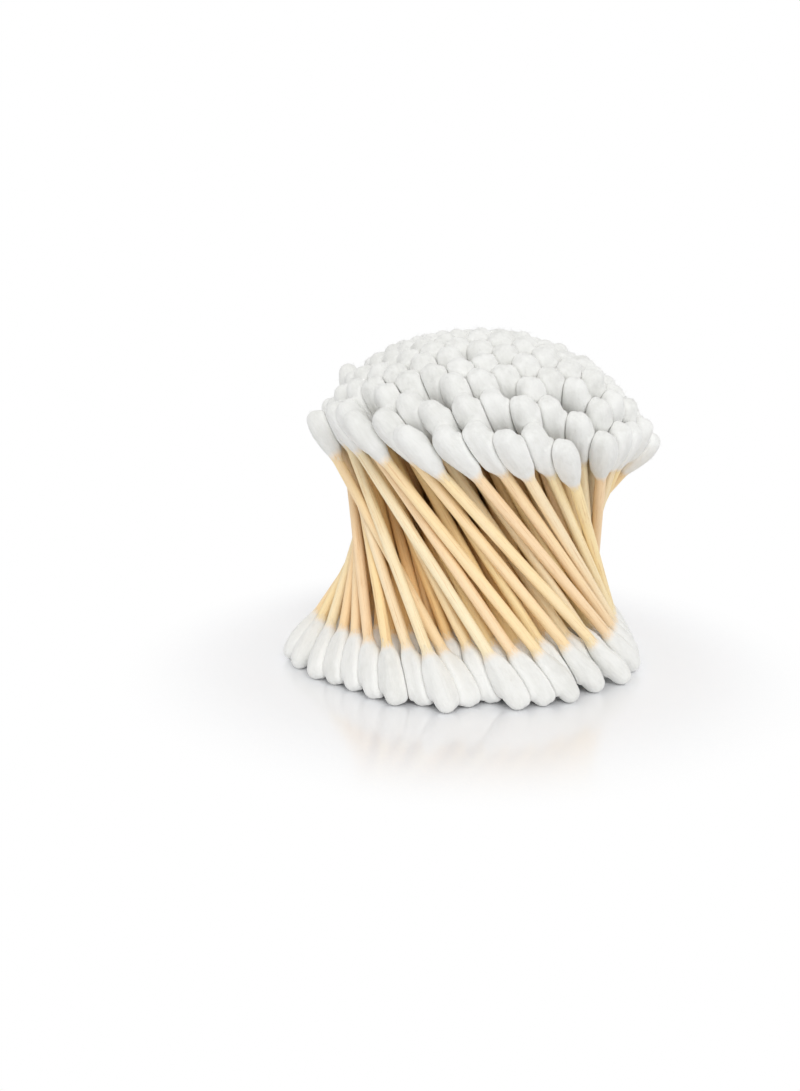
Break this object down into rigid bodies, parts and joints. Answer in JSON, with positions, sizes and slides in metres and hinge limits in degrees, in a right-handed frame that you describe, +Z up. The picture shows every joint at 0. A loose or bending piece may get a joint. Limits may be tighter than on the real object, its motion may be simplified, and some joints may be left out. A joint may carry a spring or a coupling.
{
  "type": "cotton swab bundle",
  "caption": "Free-standing bundle of 171 double-ended cotton swabs with wooden sticks, twisted into an hourglass and standing on its lower buds.",
  "frame": {"origin": "on the surface it stands on, under the middle of the bundle's box", "axes": "+Z up through the bundle, -Y towards the viewer of the picture, +X to the viewer's right"},
  "size_m": [0.0833, 0.0822, 0.0749],
  "materials": {
    "birch_stick": "plain unvarnished birch, fine grain along the stick, matte",
    "cotton": "wound white cotton, soft and matte, with a short nap"
  },
  "bodies": {
    "root": {"core_sticks": "birch_stick", "core_upper_buds": "cotton", "core_lower_buds": "cotton", "inner_01_sticks": "birch_stick", "inner_01_upper_buds": "cotton", "inner_01_lower_buds": "cotton", "inner_02_sticks": "birch_stick", "inner_02_upper_buds": "cotton", "inner_02_lower_buds": "cotton", "inner_03_sticks": "birch_stick", "inner_03_upper_buds": "cotton", "inner_03_lower_buds": "cotton", "inner_04_sticks": "birch_stick", "inner_04_upper_buds": "cotton", "inner_04_lower_buds": "cotton", "inner_05_sticks": "birch_stick", "inner_05_upper_buds": "cotton", "inner_05_lower_buds": "cotton", "inner_06_sticks": "birch_stick", "inner_06_upper_buds": "cotton", "inner_06_lower_buds": "cotton", "outer_01_sticks": "birch_stick", "outer_01_upper_buds": "cotton", "outer_01_lower_buds": "cotton", "outer_02_sticks": "birch_stick", "outer_02_upper_buds": "cotton", "outer_02_lower_buds": "cotton", "outer_03_sticks": "birch_stick", "outer_03_upper_buds": "cotton", "outer_03_lower_buds": "cotton", "outer_04_sticks": "birch_stick", "outer_04_upper_buds": "cotton", "outer_04_lower_buds": "cotton", "outer_05_sticks": "birch_stick", "outer_05_upper_buds": "cotton", "outer_05_lower_buds": "cotton", "outer_06_sticks": "birch_stick", "outer_06_upper_buds": "cotton", "outer_06_lower_buds": "cotton", "outer_07_sticks": "birch_stick", "outer_07_upper_buds": "cotton", "outer_07_lower_buds": "cotton", "outer_08_sticks": "birch_stick", "outer_08_upper_buds": "cotton", "outer_08_lower_buds": "cotton", "outer_09_sticks": "birch_stick", "outer_09_upper_buds": "cotton", "outer_09_lower_buds": "cotton", "outer_10_sticks": "birch_stick", "outer_10_upper_buds": "cotton", "outer_10_lower_buds": "cotton", "outer_11_sticks": "birch_stick", "outer_11_upper_buds": "cotton", "outer_11_lower_buds": "cotton", "outer_12_sticks": "birch_stick", "outer_12_upper_buds": "cotton", "outer_12_lower_buds": "cotton"}
  },
  "joints": []
}
